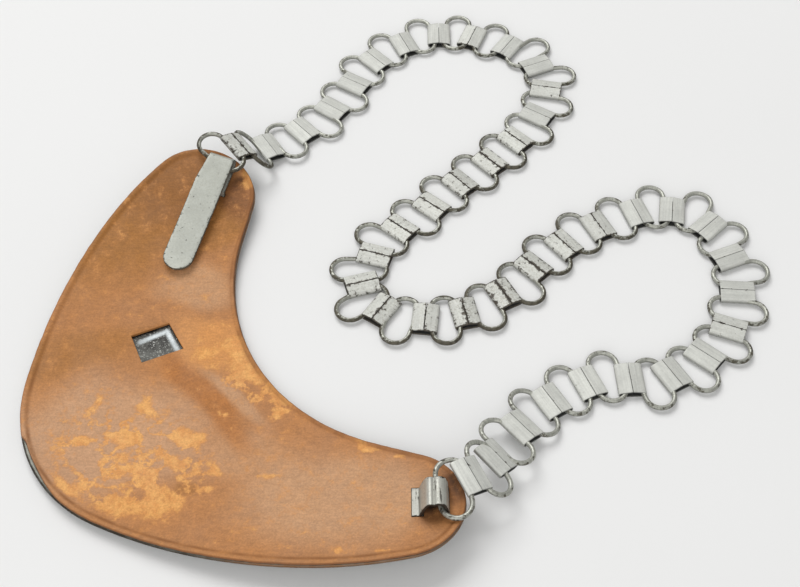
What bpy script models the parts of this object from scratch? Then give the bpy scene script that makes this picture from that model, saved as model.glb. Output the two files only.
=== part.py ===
# A steel gorget: a crescent plate hemmed round its edge and backed with leather, worn on a
# neck chain of wire rings and folded sheet clips that runs from a hook to a staple.
# It lies face down on its bowed plate with the chain spread out beside it.
import math
from collections import namedtuple

import bmesh
import bpy
from mathutils import Matrix
from mathutils import Vector
from mathutils.geometry import delaunay_2d_cdt

# Lengths are in millimetres and angles in degrees; the meshes are made in metres.
MM = 0.001

# The middle of the whole object as it lies, which becomes the origin.
CENTRE = (1.3, 0.95, 0.0)

# The plate's own axes: x across from horn to horn, y from the lobe to the neck.
PLATE_AT = (-122.5, -91.0)
PLATE_TURN = -60.06

# A loop of a sheet, with the heights of both faces there.
Rim = namedtuple("Rim", "loop bottom top")

# Half of the plate's edge, from the middle of the lobe round a horn to the middle of the neck.
Edge = namedtuple("Edge", "length turn steps")
LOBE = Edge(31.8, 34.6, 5)
FLANK = Edge(71.6, 22.2, 8)
SHOULDER = Edge(32.5, 13.1, 4)
HORN = Edge(53.0, 151.1, 12)
HORN_SIDE = Edge(16.4, 0.0, 2)
NECK = Edge(54.2, -41.0, 7)
HALF_OUTLINE = (LOBE, FLANK, SHOULDER, HORN, HORN_SIDE, NECK)

# The sheet is bowed across its width and lifts towards the tip of the lobe.
BOW_RADIUS = 435.0
DISH_START = 32.0
DISH_RADIUS = 357.0

# Steel sheet with its edge folded onto the back as a hem.
SHEET = 1.0
HEM_THICKNESS = 1.6
HEM_WIDTH = 2.6
EDGE_ROUND = 0.6

# Leather backing, pressed down inside the hem.
GAP = 0.3
LEATHER = 1.1
WORN_BACK = 2.0
CREASE = 0.7

# A small window in the leather, its corners in the plate's axes.
WINDOW = ((-31.6, 48.8), (-30.2, 62.5), (-18.0, 62.5), (-19.7, 47.6))

# Hook: a strip folded back over itself, its tongue lying along the leather.
STRIP_WIDTH = 11.0
STRIP = 1.0
HOOK_AT = (-84.0, 109.6)
HOOK_TURN = -46.1
HOOK_FOLD = 1.9
HOOK_CORNER = 1.4
HOOK_LENGTH = 51.0
HOOK_FOOT = 13.2
TONGUE_TIP = 1.7

# Staple: a strip bent into a loop over the last ring, both feet through the leather.
STAPLE_AT = (77.8, 101.1)
STAPLE_TURN = 60.06
STAPLE_SPAN = 8.3
STAPLE_PATH = (
    # along the strip, height over the leather
    (-2.55, -1.15),
    (-0.6, -1.15),
    (0.0, -0.6),
    (0.2, 0.8),
    (0.5, 3.1),
    (1.6, 5.0),
    (3.0, 5.7),
    (4.1, 5.4),
    (5.3, 5.9),
    (7.0, 5.2),
    (7.9, 3.2),
    (8.3, 1.0),
    (8.3, -1.1),
)
STAPLE_SLIT = (-2.9, 1.1)

# Chain: wire rings longer than they are wide, held in pairs by clips of folded sheet.
RINGS = 42
WIRE = 1.6
WIRE_SIDES = 5
RING_BOW = 4.97
RING_STRAIGHT = 10.2
BOW_STEPS = 5
CLIP_WIDTH = 12.25
CLIP_THICKNESS = 3.2
CLIP_BAR = 3.1
SLIDE_PER_DEGREE = 0.08

# Section of a clip: along the chain, height over its underside.
CLIP_SECTION = (
    (-4.85, 1.6),
    (-4.2, 0.5),
    (-3.2, 0.0),
    (3.2, 0.0),
    (4.2, 0.5),
    (4.85, 1.6),
    (4.0, 2.8),
    (2.6, 3.2),
    (0.6, 3.05),
    (0.0, 2.6),
    (-0.6, 3.05),
    (-2.6, 3.2),
    (-4.0, 2.8),
)

# Chain: the place and heading of each clip, in order from the hook to the staple. The clips
# lie flat on the floor, but both ends of the chain climb onto the horns.
Link = namedtuple("Link", "x y heading z slope lean", defaults=(1.6, 0.0, 0.0))
CLIPS = (
    Link(-63.7, 43.1, 43.7, 12.9, -27.3, 10.0),
    Link(-53.6, 52.1, 34.9, 3.3, -13.1, 4.8),
    Link(-41.0, 62.5, 41.0, 1.8),
    Link(-29.5, 75.0, 54.0),
    Link(-21.0, 89.5, 58.0),
    Link(-12.5, 103.5, 42.0),
    Link(-0.5, 113.5, 23.0),
    Link(14.0, 119.5, 0.0),
    Link(28.0, 118.0, -21.0),
    Link(42.5, 112.0, -33.0),
    Link(54.0, 100.5, -66.0),
    Link(57.0, 86.5, -101.0),
    Link(52.5, 71.5, -123.0),
    Link(43.0, 57.5, -136.0),
    Link(32.5, 45.5, -138.0),
    Link(20.5, 34.5, -138.0),
    Link(9.5, 22.5, -130.0),
    Link(-2.5, 11.5, -130.0),
    Link(-11.5, -1.5, -107.0),
    Link(-16.0, -15.0, -74.0),
    Link(-9.0, -26.5, -34.0),
    Link(6.5, -30.5, -6.0),
    Link(20.5, -28.0, 12.0),
    Link(34.5, -19.5, 28.0),
    Link(46.0, -7.0, 44.0),
    Link(58.0, 3.5, 38.0),
    Link(71.5, 12.5, 25.0),
    Link(86.5, 19.0, 17.0),
    Link(100.0, 20.0, -9.0),
    Link(112.5, 12.5, -46.0),
    Link(118.0, -2.5, -67.0),
    Link(118.5, -18.5, -94.0),
    Link(113.0, -34.5, -111.0),
    Link(103.0, -46.5, -131.0),
    Link(90.5, -54.5, -151.0),
    Link(76.0, -56.5, -177.0),
    Link(61.5, -58.0, -158.0),
    Link(48.5, -65.5, -150.0, 1.8),
    Link(37.5, -77.5, -140.0, 4.6, 12.0),
    Link(28.4, -91.6, -133.7, 8.8, 20.9, -9.3),
    Link(19.9, -101.3, -150.2, 13.9, 16.5, -7.8),
)

# The rings at the ends lie at angles of their own; the others follow from their clips.
END_RINGS = {
    0: Link(-69.9, 38.8, 47.0, 14.1, 2.7, 8.0),
    1: Link(-58.7, 46.6, 42.1, 7.7, -46.9, 8.0),
    40: Link(25.7, -96.9, -148.1, 11.1, 23.7, -7.7),
    41: Link(14.3, -105.9, -172.0, 13.95, -3.7, -3.0),
}


def clear_scene():
    """Remove whatever the scene holds."""
    for item in list(bpy.data.objects):
        bpy.data.objects.remove(item, do_unlink=True)


def material(name, colour, metallic, roughness):
    """A plain Principled material."""
    made = bpy.data.materials.new(name)
    made.use_nodes = True
    shader = made.node_tree.nodes["Principled BSDF"]
    shader.inputs["Base Color"].default_value = (*colour, 1.0)
    shader.inputs["Metallic"].default_value = metallic
    shader.inputs["Roughness"].default_value = roughness
    return made


def solid(name, corners, faces, surface, smooth):
    """An object from corners in millimetres, its faces turned outwards."""
    mesh = bpy.data.meshes.new(name)
    centre = Vector(CENTRE)
    mesh.from_pydata([(Vector(corner) - centre) * MM for corner in corners], [], faces)
    made = bmesh.new()
    made.from_mesh(mesh)
    bmesh.ops.recalc_face_normals(made, faces=made.faces)
    made.to_mesh(mesh)
    made.free()
    mesh.materials.append(surface)
    item = bpy.data.objects.new(name, mesh)
    bpy.context.scene.collection.objects.link(item)
    for face in mesh.polygons:
        face.use_smooth = smooth
    return item


def on_floor(x, y, z):
    """A point given in the plate's axes, brought to where the plate lies."""
    turn = Matrix.Rotation(math.radians(PLATE_TURN), 3, "Z")
    return turn @ Vector((x, y, z)) + Vector((*PLATE_AT, 0.0))


def bow(x, y):
    """Height of the plate's underside over the floor."""
    dish = max(0.0, DISH_START - y)
    return x * x / (2.0 * BOW_RADIUS) + dish * dish / (2.0 * DISH_RADIUS)


def leather_top(x, y):
    """Height of the leather's rim over the floor."""
    return bow(x, y) + HEM_THICKNESS + GAP + LEATHER


def half_outline():
    """Points of half the edge with the heading at each."""
    stations = [(Vector((0.0, 0.0)), 0.0)]
    for edge in HALF_OUTLINE:
        step = math.radians(edge.turn / edge.steps)
        chord = edge.length / edge.steps
        if step:
            chord *= math.sin(step / 2.0) / (step / 2.0)
        for _ in range(edge.steps):
            point, heading = stations[-1]
            way = heading + step / 2.0
            point = point + chord * Vector((math.cos(way), math.sin(way)))
            stations.append((point, heading + step))
    stations[-1] = (Vector((0.0, stations[-1][0].y)), math.pi)
    return stations


def outline(inset):
    """The whole edge as a loop of points, moved inwards by a distance or a function of the point."""
    half = []
    for side in (1.0, -1.0):
        row = []
        for point, heading in half_outline():
            depth = inset(side * point.x, point.y) if callable(inset) else inset
            moved = point + depth * Vector((-math.sin(heading), math.cos(heading)))
            row.append((side * moved.x, moved.y))
        half.append(row)
    return half[0] + half[1][-2:0:-1]


def leather_inset(x, y):
    """Distance of the leather's edge from the steel's: it is worn back at the lobe."""
    worn = 0.0
    if y < DISH_START:
        worn = min(1.0, max(0.0, (x + 11.0) / 2.5)) * min(1.0, max(0.0, (34.0 - x) / 14.0))
    return GAP + WORN_BACK * worn


def inside(x, y, loop):
    """Whether a point lies within a loop."""
    found = False
    for (ax, ay), (bx, by) in zip(loop, loop[1:] + loop[:1]):
        if (ay > y) != (by > y) and x < ax + (bx - ax) * (y - ay) / (by - ay):
            found = not found
    return found


def distance_to(x, y, loop):
    """Shortest distance from a point to a loop."""
    here = Vector((x, y))
    best = math.inf
    for start, end in zip(loop, loop[1:] + loop[:1]):
        start = Vector(start)
        along = Vector(end) - start
        share = min(1.0, max(0.0, (here - start).dot(along) / along.length_squared))
        best = min(best, (here - start - share * along).length)
    return best


def slot(at, turn, along, across):
    """The corners of a straight slit: its ends along the strip and its half length across."""
    angle = math.radians(turn)
    way = Vector((math.cos(angle), math.sin(angle)))
    side = Vector((-way.y, way.x))
    corners = []
    for distance, offset in ((0, -1), (1, -1), (1, 1), (0, 1)):
        corner = Vector(at) + along[distance] * way + offset * across * side
        corners.append((corner.x, corner.y))
    return corners


def sheet(name, rims, holes, inner, spacing, surface):
    """A closed bowed sheet; each rim and hole gives the heights of both faces over the bow."""
    corners = []
    edges = []
    for rim in rims + holes:
        first = len(corners)
        count = len(rim.loop)
        corners += [(x, y, rim.bottom, rim.top) for x, y in rim.loop]
        edges += [(first + i, first + (i + 1) % count) for i in range(count)]
    barriers = [rims[-1].loop] + [hole.loop for hole in holes]
    columns = int(95.0 / spacing)
    for column in range(-columns, columns + 1):
        for row in range(int(116.0 / spacing) + 1):
            x = (column + 0.5 * (row % 2)) * spacing
            y = row * spacing
            clear = min(distance_to(x, y, loop) for loop in barriers)
            if clear > 0.45 * spacing and inside(x, y, rims[-1].loop):
                if not any(inside(x, y, hole.loop) for hole in holes):
                    corners.append((x, y, inner[0], inner[1]))
    flat = [Vector(corner[:2]) for corner in corners]
    points, _, triangles, origin, _, _ = delaunay_2d_cdt(flat, edges, [], 0, 1e-6, True)
    count = len(points)
    bottoms = []
    tops = []
    for source in origin:
        x, y, low, high = corners[source[0]]
        bottoms.append(on_floor(x, y, bow(x, y) + low))
        tops.append(on_floor(x, y, bow(x, y) + high))
    kept = []
    for triangle in triangles:
        middle = sum((points[i] for i in triangle), Vector((0.0, 0.0))) / 3.0
        outside = not inside(middle.x, middle.y, rims[0].loop)
        if outside or any(inside(middle.x, middle.y, hole.loop) for hole in holes):
            continue
        kept.append(tuple(triangle))
    used = {(tri[i], tri[(i + 1) % 3]) for tri in kept for i in range(3)}
    faces = [tuple(i + count for i in tri) for tri in kept]
    faces += [tuple(reversed(tri)) for tri in kept]
    faces += [(a, b, b + count, a + count) for a, b in used if (b, a) not in used]
    return solid(name, bottoms + tops, faces, surface, False)


def thickened(path, thickness):
    """Both sides of a bent strip seen from its edge."""
    sides = []
    for i, point in enumerate(path):
        here = Vector(point)
        before = (here - Vector(path[i - 1])).normalized() if i else None
        after = (Vector(path[i + 1]) - here).normalized() if i + 1 < len(path) else None
        before = before or after
        after = after or before
        normal = Vector((-(before + after).y, (before + after).x)).normalized()
        reach = 0.5 * thickness / normal.dot(Vector((-before.y, before.x)))
        sides.append((here - reach * normal, here + reach * normal))
    return sides


def bent_strip(name, at, turn, path, half_widths, surface):
    """A strip on the leather from its path, distance along and height, and its half widths."""
    angle = math.radians(turn)
    way = Vector((math.cos(angle), math.sin(angle)))
    side = Vector((-way.y, way.x))
    corners = []
    for pair, half in zip(thickened(path, STRIP), half_widths):
        for offset, face in ((-half[0], 0), (-half[0], 1), (half[1], 1), (half[1], 0)):
            flat = Vector(at) + pair[face].x * way + offset * side
            corners.append(on_floor(flat.x, flat.y, leather_top(flat.x, flat.y) + pair[face].y))
    rows = len(path)
    faces = [(0, 1, 2, 3), tuple(4 * rows - 1 - i for i in range(4))]
    for row in range(rows - 1):
        for i in range(4):
            j = (i + 1) % 4
            faces.append((4 * row + i, 4 * row + j, 4 * row + 4 + j, 4 * row + 4 + i))
    return solid(name, corners, faces, surface, False)


def hook_path():
    """The hook from its foot through the leather, round the fold and along the tongue."""
    low = GAP + STRIP / 2.0
    high = low + 2.0 * HOOK_FOLD
    fold = HOOK_FOLD + STRIP / 2.0
    path = [(HOOK_FOOT, -LEATHER), (HOOK_FOOT, low - 0.5), (HOOK_FOOT - 0.5, low)]
    for step in range(7):
        angle = math.radians(270.0 - 30.0 * step)
        height = low + HOOK_FOLD * (1.0 + math.sin(angle))
        path.append((fold + HOOK_FOLD * math.cos(angle), height))
    half = STRIP_WIDTH / 2.0
    widths = [(half - HOOK_CORNER, half)] * len(path)
    round_from = HOOK_LENGTH - half
    for share in (0.25, 0.6):
        distance = fold + share * (round_from - fold)
        path.append((distance, high + share * (TONGUE_TIP - high)))
        widths.append((half, half))
    for angle in (0.0, 22.5, 45.0, 65.0, 80.0):
        path.append((round_from + half * math.sin(math.radians(angle)), TONGUE_TIP))
        widths.append((half * math.cos(math.radians(angle)), half * math.cos(math.radians(angle))))
    return path, widths


def link_frame(at, heading, slope=0.0, lean=0.0):
    """A frame with x along the chain, y to its left and z up, sloped and then leaned."""
    turn = Matrix.Rotation(math.radians(heading), 3, "Z")
    turn = turn @ Matrix.Rotation(math.radians(-slope), 3, "Y")
    turn = turn @ Matrix.Rotation(math.radians(lean), 3, "X")
    return Matrix.Translation(at) @ turn.to_4x4()


def slope_of(along):
    """Slope of a direction in degrees, upwards positive."""
    return math.degrees(math.atan2(along.z, along.to_2d().length))


def posed(link):
    """The frame of a link of the table."""
    return link_frame(Vector((link.x, link.y, link.z)), link.heading, link.slope, link.lean)


def clip_frames():
    """Frames of the clips between the hook and the staple."""
    return [posed(link) for link in CLIPS]


def ring_frames():
    """Frames of the rings; in a bend they slide towards its outer side."""
    clips = clip_frames()
    frames = []
    for ring in range(RINGS):
        if ring in END_RINGS:
            frames.append(posed(END_RINGS[ring]))
            continue
        start = clips[ring - 1] @ Vector((CLIP_BAR, 0.0, 0.0))
        end = clips[ring] @ Vector((-CLIP_BAR, 0.0, 0.0))
        bend = (CLIPS[ring].heading - CLIPS[ring - 1].heading + 180.0) % 360.0 - 180.0
        heading = CLIPS[ring - 1].heading + bend / 2.0
        frame = link_frame((start + end) / 2.0, heading, slope_of(end - start))
        frames.append(frame @ Matrix.Translation((0.0, -SLIDE_PER_DEGREE * bend, 0.0)))
    return frames


def ring_mesh(frame):
    """Corners and faces of one ring: a wire bent to a long loop that lies across the chain."""
    path = []
    for end in (1.0, -1.0):
        for step in range(BOW_STEPS + 1):
            angle = math.radians(-90.0 + 180.0 * step / BOW_STEPS)
            radius = RING_BOW
            if 0 < step < BOW_STEPS:
                radius /= math.cos(math.radians(90.0 / BOW_STEPS))
            across = RING_STRAIGHT / 2.0 + radius * math.cos(angle)
            path.append(Vector((-end * radius * math.sin(angle), end * across, 0.0)))
    corners = []
    count = len(path)
    for i, point in enumerate(path):
        before = (point - path[i - 1]).normalized()
        after = (path[(i + 1) % count] - point).normalized()
        outward = (before + after).normalized().cross(Vector((0.0, 0.0, 1.0)))
        for side in range(WIRE_SIDES):
            angle = math.radians(90.0 + 360.0 * side / WIRE_SIDES)
            offset = math.cos(angle) * outward + math.sin(angle) * Vector((0.0, 0.0, 1.0))
            corners.append(frame @ (point + 1.06 * WIRE / 2.0 * offset))
    faces = []
    for i in range(count):
        for side in range(WIRE_SIDES):
            a = i * WIRE_SIDES + side
            b = i * WIRE_SIDES + (side + 1) % WIRE_SIDES
            c = (i + 1) % count * WIRE_SIDES + (side + 1) % WIRE_SIDES
            d = (i + 1) % count * WIRE_SIDES + side
            faces.append((a, b, c, d))
    return corners, faces


def clip_mesh(frame):
    """Corners and faces of one clip: its section drawn out across the chain."""
    corners = []
    for across in (-CLIP_WIDTH / 2.0, CLIP_WIDTH / 2.0):
        for along, height in CLIP_SECTION:
            corners.append(frame @ Vector((along, across, height - CLIP_THICKNESS / 2.0)))
    count = len(CLIP_SECTION)
    faces = [tuple(range(count)), tuple(range(2 * count - 1, count - 1, -1))]
    for i in range(count):
        j = (i + 1) % count
        faces.append((i, j, j + count, i + count))
    return corners, faces


def gathered(name, pieces, surface):
    """One object from many separate small meshes."""
    corners = []
    faces = []
    for some, sides in pieces:
        faces += [tuple(i + len(corners) for i in side) for side in sides]
        corners += some
    return solid(name, corners, faces, surface, False)


def join_solids(target, others):
    """Unite solids into the target for good."""
    for other in others:
        step = target.modifiers.new("union", "BOOLEAN")
        step.operation = "UNION"
        step.solver = "EXACT"
        step.object = other
    graph = bpy.context.evaluated_depsgraph_get()
    mesh = bpy.data.meshes.new_from_object(target.evaluated_get(graph))
    target.modifiers.clear()
    target.data = mesh
    mesh.name = target.name
    for other in others:
        bpy.data.objects.remove(other, do_unlink=True)


def build_plate():
    """The steel crescent with its hem."""
    steel = material("gorget_plate", (0.42, 0.41, 0.39), 1.0, 0.45)
    rims = [
        Rim(outline(0.0), EDGE_ROUND / 2.0, HEM_THICKNESS - EDGE_ROUND / 2.0),
        Rim(outline(EDGE_ROUND), 0.0, HEM_THICKNESS),
        Rim(outline(HEM_WIDTH), 0.0, HEM_THICKNESS),
        Rim(outline(HEM_WIDTH + EDGE_ROUND), 0.0, SHEET),
    ]
    return sheet("gorget_plate", rims, [], (0.0, SHEET), 12.0, steel)


def build_leather():
    """The leather backing with its window and the slits for hook and staple."""
    brown = material("leather_backing", (0.46, 0.27, 0.15), 0.0, 0.75)
    over_hem = HEM_THICKNESS + GAP
    on_sheet = SHEET + GAP
    half = STRIP_WIDTH / 2.0 + GAP
    room = STRIP / 2.0 + GAP
    holes = [
        list(WINDOW),
        slot(HOOK_AT, HOOK_TURN, (HOOK_FOOT - room, HOOK_FOOT + room), half),
        slot(STAPLE_AT, STAPLE_TURN, STAPLE_SLIT, half),
        slot(STAPLE_AT, STAPLE_TURN, (STAPLE_SPAN - room, STAPLE_SPAN + room), half),
    ]
    rims = [
        Rim(outline(leather_inset), over_hem, over_hem + LEATHER),
        Rim(outline(HEM_WIDTH + GAP), over_hem, over_hem + LEATHER),
        Rim(outline(HEM_WIDTH + GAP + CREASE), on_sheet, on_sheet + LEATHER),
    ]
    cuts = [Rim(loop, on_sheet, on_sheet + LEATHER) for loop in holes]
    return sheet("leather_backing", rims, cuts, (on_sheet, on_sheet + LEATHER), 12.0, brown)


def build_hook():
    """The hook the chain's first ring hangs in."""
    paint = material("hook_tongue", (0.55, 0.56, 0.5), 0.3, 0.5)
    path, widths = hook_path()
    return bent_strip("hook_tongue", HOOK_AT, HOOK_TURN, path, widths, paint)


def build_staple():
    """The staple that holds the chain's last ring."""
    paint = material("ring_loop", (0.5, 0.5, 0.46), 0.3, 0.5)
    widths = [(STRIP_WIDTH / 2.0, STRIP_WIDTH / 2.0)] * len(STAPLE_PATH)
    return bent_strip("ring_loop", STAPLE_AT, STAPLE_TURN, STAPLE_PATH, widths, paint)


def build_chain():
    """The neck chain, its rings and clips united."""
    paint = material("chain", (0.5, 0.5, 0.48), 0.6, 0.45)
    rings = [ring_mesh(frame) for frame in ring_frames()]
    chain = gathered("chain", [clip_mesh(frame) for frame in clip_frames()], paint)
    even = gathered("even_rings", rings[0::2], paint)
    odd = gathered("odd_rings", rings[1::2], paint)
    join_solids(chain, [even, odd])
    return chain


clear_scene()
build_plate()
build_leather()
build_hook()
build_staple()
build_chain()
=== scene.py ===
import math
import random
from collections import namedtuple

import bmesh
import bpy
import numpy as np
from mathutils import Matrix
from mathutils import noise
from mathutils import Vector
from mathutils.geometry import delaunay_2d_cdt


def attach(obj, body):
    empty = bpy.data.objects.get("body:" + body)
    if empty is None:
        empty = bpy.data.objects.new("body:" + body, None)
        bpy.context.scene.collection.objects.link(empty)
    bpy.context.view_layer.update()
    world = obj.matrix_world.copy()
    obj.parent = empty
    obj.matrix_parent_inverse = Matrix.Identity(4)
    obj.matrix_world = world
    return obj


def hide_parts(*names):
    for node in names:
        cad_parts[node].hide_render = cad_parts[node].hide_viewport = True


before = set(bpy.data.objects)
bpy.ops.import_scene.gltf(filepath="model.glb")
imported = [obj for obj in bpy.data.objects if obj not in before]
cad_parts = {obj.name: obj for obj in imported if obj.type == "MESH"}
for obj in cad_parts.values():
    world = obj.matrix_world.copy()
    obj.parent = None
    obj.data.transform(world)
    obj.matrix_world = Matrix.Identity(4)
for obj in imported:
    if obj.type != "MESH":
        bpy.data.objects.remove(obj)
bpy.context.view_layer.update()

# Lengths are in millimetres and angles in degrees; the meshes are made in metres.
MM = 0.001
CENTRE = (1.3, 0.95, 0.0)
PLATE_AT = (-122.5, -91.0)
PLATE_TURN = -60.06

# Half of the plate's edge, from the middle of the lobe round a horn to the middle of the neck.
Edge = namedtuple("Edge", "length turn steps")
HALF_OUTLINE = (
    Edge(31.8, 34.6, 20),
    Edge(71.6, 22.2, 40),
    Edge(32.5, 13.1, 18),
    Edge(53.0, 151.1, 48),
    Edge(16.4, 0.0, 8),
    Edge(54.2, -41.0, 30),
)
BOW_RADIUS = 435.0
DISH_START = 32.0
DISH_RADIUS = 357.0

# Steel sheet with a folded hem, and the leather pressed down inside it.
SHEET = 1.0
HEM_THICKNESS = 1.6
HEM_WIDTH = 2.6
GAP = 0.3
LEATHER = 1.1
UNDER_RIM = HEM_THICKNESS + GAP
RIM_TOP = UNDER_RIM + LEATHER
ON_SHEET = SHEET + GAP
LEATHER_FACE = ON_SHEET + LEATHER
WINDOW = ((-31.6, 48.8), (-30.2, 62.5), (-18.0, 62.5), (-19.7, 47.6))

# The leather is worn back at the lobe, between two places across the plate.
WORN_BACK = 1.1
WORN_FROM = -11.0
WORN_TO = 16.0

# Angles round the hem's fold, and how far the mesh stays inside the model's outline.
HEM_TURNS = (6.0, 25.0, 45.0, 66.0, 90.0)
OUTLINE_ROOM = 0.04

# Field of points inside a sheet's edge: reach to each side, depth, height of a row by spacing.
FIELD_REACH = 98.0
FIELD_DEPTH = 118.0
ROW_HEIGHT = 0.866
PLATE_SPACING = 2.4
LEATHER_SPACING = 1.5

# A finer field of points where the steel shows in the window.
SEEN_ACROSS = (-32.0, -17.0)
SEEN_DEEP = (47.0, 63.2)
SEEN_STEP = 0.45

# Hook and staple, both bent from the same strip.
STRIP_WIDTH = 11.0
STRIP = 1.0
HOOK_AT = (-84.0, 109.6)
HOOK_TURN = -46.1
HOOK_FOLD = 1.9
HOOK_CORNER = 1.4
HOOK_LENGTH = 51.0
HOOK_FOOT = 13.2
TONGUE_TIP = 1.7
STAPLE_AT = (77.8, 101.1)
STAPLE_TURN = 60.06
STAPLE_SPAN = 8.3
STAPLE_SLIT = (-2.8, 1.1)

# The staple's middle line: distance along the strip and height over the leather.
Bent = namedtuple("Bent", "along height")
STAPLE_PATH = (
    Bent(-2.65, -1.0),
    Bent(-0.6, -1.0),
    Bent(0.1, -0.5),
    Bent(0.45, 0.8),
    Bent(1.1, 3.1),
    Bent(2.0, 5.1),
    Bent(3.0, 5.75),
    Bent(4.1, 5.3),
    Bent(5.3, 5.9),
    Bent(7.0, 5.2),
    Bent(7.9, 3.2),
    Bent(8.3, 1.0),
    Bent(8.3, -1.1),
)

# Chain of wire rings held in pairs by clips folded from sheet. The wire is drawn a little
# thicker, because its sides are flat.
RINGS = 42
WIRE = 1.6
WIRE_DRAWN = 1.05
WIRE_SIDES = 12
RING_BOW = 4.97
RING_STRAIGHT = 10.2
BOW_STEPS = 14
CLIP_WIDTH = 12.25
CLIP_SHEET = 0.7

# Where a ring's wire lies in a clip, from the clip's middle, and how far a ring slides outwards
# for each degree of a bend.
CLIP_BAR = 3.1
SLIDE_PER_DEGREE = 0.08

# Steps of the paint's own axes: along a ring, round its wire, and from one piece to the next.
RING_STEP = 0.84
SIDE_STEP = 0.4
PIECE_STEP = 40.0

# Chain: the place and heading of each clip, in order from the hook to the staple. The clips
# lie flat on the floor, but both ends of the chain climb onto the horns.
Link = namedtuple("Link", "x y heading z slope lean", defaults=(1.6, 0.0, 0.0))
CLIPS = (
    Link(-63.7, 43.1, 43.7, 12.9, -27.3, 10.0),
    Link(-53.6, 52.1, 34.9, 3.3, -13.1, 4.8),
    Link(-41.0, 62.5, 41.0, 1.8),
    Link(-29.5, 75.0, 54.0),
    Link(-21.0, 89.5, 58.0),
    Link(-12.5, 103.5, 42.0),
    Link(-0.5, 113.5, 23.0),
    Link(14.0, 119.5, 0.0),
    Link(28.0, 118.0, -21.0),
    Link(42.5, 112.0, -33.0),
    Link(54.0, 100.5, -66.0),
    Link(57.0, 86.5, -101.0),
    Link(52.5, 71.5, -123.0),
    Link(43.0, 57.5, -136.0),
    Link(32.5, 45.5, -138.0),
    Link(20.5, 34.5, -138.0),
    Link(9.5, 22.5, -130.0),
    Link(-2.5, 11.5, -130.0),
    Link(-11.5, -1.5, -107.0),
    Link(-16.0, -15.0, -74.0),
    Link(-9.0, -26.5, -34.0),
    Link(6.5, -30.5, -6.0),
    Link(20.5, -28.0, 12.0),
    Link(34.5, -19.5, 28.0),
    Link(46.0, -7.0, 44.0),
    Link(58.0, 3.5, 38.0),
    Link(71.5, 12.5, 25.0),
    Link(86.5, 19.0, 17.0),
    Link(100.0, 20.0, -9.0),
    Link(112.5, 12.5, -46.0),
    Link(118.0, -2.5, -67.0),
    Link(118.5, -18.5, -94.0),
    Link(113.0, -34.5, -111.0),
    Link(103.0, -46.5, -131.0),
    Link(90.5, -54.5, -151.0),
    Link(76.0, -56.5, -177.0),
    Link(61.5, -58.0, -158.0),
    Link(48.5, -65.5, -150.0, 1.8),
    Link(37.5, -77.5, -140.0, 4.6, 12.0),
    Link(28.4, -91.6, -133.7, 8.8, 20.9, -9.3),
    Link(19.9, -101.3, -150.2, 13.9, 16.5, -7.8),
)

# The rings at the ends lie at angles of their own; the others follow from their clips.
END_RINGS = {
    0: Link(-69.9, 38.8, 47.0, 14.1, 2.7, 8.0),
    1: Link(-58.7, 46.6, 42.1, 7.7, -46.9, 8.0),
    40: Link(25.7, -96.9, -148.1, 11.1, 23.7, -7.7),
    41: Link(14.3, -105.9, -172.0, 13.95, -3.7, -3.0),
}

# How far the paint has gone from the clips, by clip number. The rest keep nearly all of it.
WEAR_ELSEWHERE = 0.05
CLIP_WEAR = {
    1: 0.55, 9: 0.2, 12: 0.3, 14: 0.35, 15: 0.5, 16: 0.45, 17: 0.4, 18: 0.5, 19: 0.4, 20: 0.45,
    21: 0.5, 22: 0.35, 23: 0.6, 24: 0.7, 25: 0.6, 26: 0.45, 27: 0.3, 33: 0.25,
}

# A clip whose half towards the staple is painted paler, a painted highlight for the light that half
# catches, by clip number.
LIT_HALF = {41: 1.2}

# Painted shade: how dark the paint is made inside a clip, on its cut edges and low sides, and on a
# strip's edges.
CLIP_INSIDE_SHADE = 0.12
CLIP_EDGE_SHADE = 0.6
STRIP_EDGE_SHADE = 0.4

# Where the camera stands, how far it is tilted up from looking straight down, its lens and its
# sensor's width.
CAMERA_AT = (-2.4, -312.0, 375.4)
CAMERA_TILT = 38.07
CAMERA_LENS = 59.625
CAMERA_SENSOR = 36.0

# Faces that meet at more than this angle are shaded with a sharp edge.
SHARP_FROM = 38.0

# Leather tones, red green blue out of 255. The darkest tone only paints shadow, the fold tone paints
# the shade along a fold, and the umber tone is both a darker real tone and painted shade.
TONES = {
    "tan": (179, 123, 74),
    "brown": (165, 111, 54),
    "fold": (174, 112, 56),
    "umber": (126, 80, 42),
    "cast_shadow": (52, 34, 22),
    "pink": (195, 150, 111),
    "grey": (197, 152, 114),
    "orange": (209, 145, 82),
    "warm": (208, 142, 82),
    "worn": (217, 150, 82),
    "raw": (236, 175, 100),
}
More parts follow.
